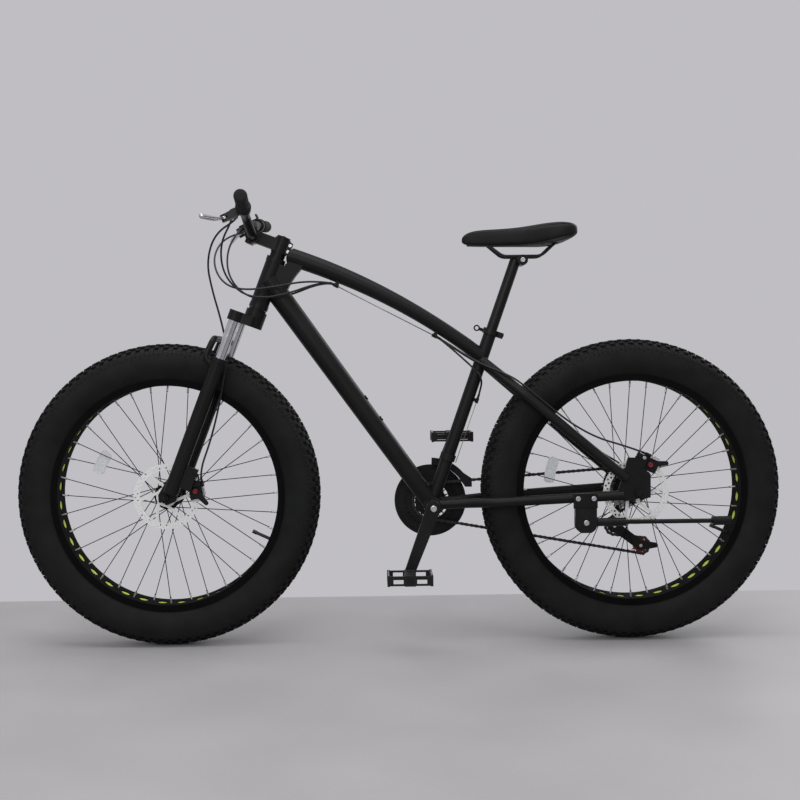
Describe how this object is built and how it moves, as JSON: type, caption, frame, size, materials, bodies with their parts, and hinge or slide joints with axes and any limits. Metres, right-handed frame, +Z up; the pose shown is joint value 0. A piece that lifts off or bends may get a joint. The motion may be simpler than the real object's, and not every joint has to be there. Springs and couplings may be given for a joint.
{
  "type": "fat tire bike",
  "caption": "Fat tire mountain bike with arched top tube, suspension fork, disc brakes, derailleur drive, sprung levers, height-set saddle and folding kickstand.",
  "frame": {"origin": "on the ground, midway between the wheels, in the middle plane", "axes": "+X forward, +Y to the rider's left, +Z up"},
  "size_m": [1.8938, 0.663, 1.084],
  "materials": {
    "frame_paint": "satin black enamel",
    "fork_paint": "satin black enamel on cast alloy",
    "black_alloy": "black anodised alloy",
    "stanchion_chrome": "hard chrome",
    "steel": "zinc plated steel",
    "black_steel": "black phosphated steel",
    "rotor_steel": "ground stainless steel",
    "chain_steel": "oiled dark steel",
    "lever_alloy": "polished alloy",
    "tyre_rubber": "moulded tread rubber",
    "strip": "yellow-green rim strip and tube rubber",
    "grip_rubber": "ribbed grip rubber",
    "black_plastic": "moulded nylon",
    "cable_black": "cable housing",
    "saddle_skin": "stitched synthetic leather",
    "pulley_plastic": "dark red nylon"
  },
  "bodies": {
    "frame": {"head_tube": "frame_paint", "top_tube": "frame_paint", "down_tube": "frame_paint", "seat_tube": "frame_paint", "bottom_bracket_shell": "frame_paint", "rear_triangle": "frame_paint", "bearing_cups": "steel", "seat_collar": "black_alloy", "rear_axle": "steel", "rear_caliper": "black_alloy", "derailleur_mount": "black_alloy", "front_derailleur_clamp": "black_alloy", "kickstand_bracket": "black_alloy", "control_cables": "cable_black", "chain": "chain_steel"},
    "steering": {"fork_crown": "fork_paint", "stanchions": "stanchion_chrome", "stem": "black_alloy", "handlebar": "black_alloy", "grips": "grip_rubber", "lever_brackets": "black_plastic"},
    "fork_lower": {"fork_lowers": "fork_paint", "fork_springs": "steel", "front_axle": "steel", "front_caliper": "black_alloy", "front_brake_cable": "cable_black"},
    "front_wheel": {"front_tyre": "tyre_rubber", "front_tube_and_strip": "strip", "front_rim": "black_alloy", "front_spokes": "black_steel", "front_hub": "black_alloy", "front_rotor": "rotor_steel"},
    "rear_wheel": {"rear_tyre": "tyre_rubber", "rear_tube_and_strip": "strip", "rear_rim": "black_alloy", "rear_spokes": "black_steel", "rear_hub": "black_alloy", "rear_rotor": "rotor_steel"},
    "seat": {"seatpost": "black_alloy", "saddle_base": "black_plastic", "saddle_cover": "saddle_skin"},
    "seat_clamp_lever": {"seat_collar_lever": "black_alloy"},
    "kickstand": {"kickstand_leg": "black_alloy"},
    "crank": {"crank_spindle": "steel", "crank_arms": "black_alloy", "chainrings": "black_steel"},
    "left_foot_pedal": {"left_pedal": "black_plastic"},
    "right_foot_pedal": {"right_pedal": "black_plastic"},
    "sprocket_block": {"freewheel": "chain_steel"},
    "derailleur": {"derailleur_knuckle": "black_alloy"},
    "cage": {"derailleur_cage": "black_steel"},
    "guide_wheel": {"guide_pulley": "pulley_plastic"},
    "tension_wheel": {"tension_pulley": "pulley_plastic"},
    "front_derailleur": {"front_derailleur_cage": "black_steel"},
    "left_lever": {"left_brake_lever": "lever_alloy"},
    "right_lever": {"right_brake_lever": "lever_alloy"},
    "left_shifter": {"left_shift_lever": "black_plastic"},
    "right_shifter": {"right_shift_lever": "black_plastic"},
    "front_brake_arm": {"front_caliper_arm": "black_alloy"},
    "rear_brake_arm": {"rear_caliper_arm": "black_alloy"}
  },
  "joints": [
    {"name": "steering_turn", "type": "hinge", "parent": "frame", "child": "steering", "pos_m": [0.34482, 0, 0.84287], "axis": [-0.3584, 0, 0.9336], "range_deg": [-50, 50], "deforming": ["control_cables"]},
    {"name": "fork_travel", "type": "slide", "parent": "steering", "child": "fork_lower", "axis": [-0.3584, 0, 0.9336], "range_m": [0, 0.06], "stiffness_N_per_m": 8000, "springref_m": -0.02, "deforming": ["front_brake_cable", "fork_springs"]},
    {"name": "front_wheel_spin", "type": "hinge", "parent": "fork_lower", "child": "front_wheel", "pos_m": [0.573, 0, 0.374], "axis": [0, 1, 0], "continuous": true},
    {"name": "rear_wheel_spin", "type": "hinge", "parent": "frame", "child": "rear_wheel", "pos_m": [-0.573, 0, 0.374], "axis": [0, 1, 0], "continuous": true},
    {"name": "seatpost_height", "type": "slide", "parent": "frame", "child": "seat", "axis": [-0.3338, 0, 0.9426], "range_m": [-0.13, 0.06]},
    {"name": "seat_clamp_cam", "type": "hinge", "parent": "frame", "child": "seat_clamp_lever", "pos_m": [-0.25239, -0.01815, 0.7594], "axis": [-0.3338, 0, 0.9426], "range_deg": [-150, 0]},
    {"name": "kickstand_fold", "type": "hinge", "parent": "frame", "child": "kickstand", "pos_m": [-0.445, 0, 0.304], "axis": [0, 1, 0], "range_deg": [-128, 0]},
    {"name": "crank_spin", "type": "hinge", "parent": "frame", "child": "crank", "pos_m": [-0.077, 0, 0.342], "axis": [0, 1, 0], "continuous": true, "deforming": ["chain"]},
    {"name": "left_pedal_spin", "type": "hinge", "parent": "crank", "child": "left_foot_pedal", "pos_m": [-0.01636, 0, 0.18318], "axis": [0, 1, 0], "continuous": true},
    {"name": "right_pedal_spin", "type": "hinge", "parent": "crank", "child": "right_foot_pedal", "pos_m": [-0.13764, 0, 0.50082], "axis": [0, 1, 0], "continuous": true},
    {"name": "freewheel_spin", "type": "hinge", "parent": "frame", "child": "sprocket_block", "pos_m": [-0.573, 0, 0.374], "axis": [0, 1, 0], "continuous": true, "deforming": ["chain"]},
    {"name": "derailleur_shift", "type": "slide", "parent": "frame", "child": "derailleur", "axis": [0, 1, 0], "range_m": [-0.025, 0.005], "deforming": ["chain", "control_cables"]},
    {"name": "cage_swing", "type": "hinge", "parent": "derailleur", "child": "cage", "pos_m": [-0.546, 0, 0.272], "axis": [0, 1, 0], "range_deg": [-40, 20], "stiffness_Nm_per_rad": 2, "deforming": ["chain"]},
    {"name": "guide_pulley_spin", "type": "hinge", "parent": "cage", "child": "guide_wheel", "pos_m": [-0.546, 0, 0.272], "axis": [0, 1, 0], "continuous": true, "deforming": ["chain"]},
    {"name": "tension_pulley_spin", "type": "hinge", "parent": "cage", "child": "tension_wheel", "pos_m": [-0.61291, 0, 0.22121], "axis": [0, 1, 0], "continuous": true, "deforming": ["chain"]},
    {"name": "front_derailleur_shift", "type": "slide", "parent": "frame", "child": "front_derailleur", "axis": [0, 1, 0], "range_m": [-0.015, 0], "deforming": ["chain", "control_cables"]},
    {"name": "left_brake_pull", "type": "hinge", "parent": "steering", "child": "left_lever", "pos_m": [0.40727, 0.18696, 1.03521], "axis": [0.422, -0.0546, 0.905], "range_deg": [0, 28], "stiffness_Nm_per_rad": 1.2, "springref_deg": -14.9},
    {"name": "left_shift", "type": "hinge", "parent": "steering", "child": "left_shifter", "pos_m": [0.39667, 0.14736, 1.04495], "axis": [0.422, -0.0546, 0.905], "range_deg": [-8, 32]},
    {"name": "right_brake_pull", "type": "hinge", "parent": "steering", "child": "right_lever", "pos_m": [0.40727, -0.18696, 1.03521], "axis": [-0.422, -0.0546, -0.905], "range_deg": [0, 28], "stiffness_Nm_per_rad": 1.2, "springref_deg": -14.9},
    {"name": "right_shift", "type": "hinge", "parent": "steering", "child": "right_shifter", "pos_m": [0.39667, -0.14736, 1.04495], "axis": [-0.422, -0.0546, -0.905], "range_deg": [-8, 32]},
    {"name": "front_caliper_pull", "type": "hinge", "parent": "fork_lower", "child": "front_brake_arm", "pos_m": [0.50036, 0, 0.38812], "axis": [0, 1, 0], "range_deg": [0, 24], "deforming": ["front_brake_cable"]},
    {"name": "rear_caliper_pull", "type": "hinge", "parent": "frame", "child": "rear_brake_arm", "pos_m": [-0.60486, 0, 0.44079], "axis": [0, 1, 0], "range_deg": [0, 24], "deforming": ["control_cables"]}
  ],
  "couplings": [
    {"joint": "freewheel_spin", "follows": "crank_spin", "ratio": 0.91667},
    {"joint": "guide_pulley_spin", "follows": "crank_spin", "ratio": -2},
    {"joint": "tension_pulley_spin", "follows": "crank_spin", "ratio": 2},
    {"joint": "right_shift", "follows": "derailleur_shift", "rad_per_m": -20},
    {"joint": "left_shift", "follows": "front_derailleur_shift", "rad_per_m": -30},
    {"joint": "front_caliper_pull", "follows": "left_brake_pull", "ratio": 0.8},
    {"joint": "rear_caliper_pull", "follows": "right_brake_pull", "ratio": 0.8}
  ]
}
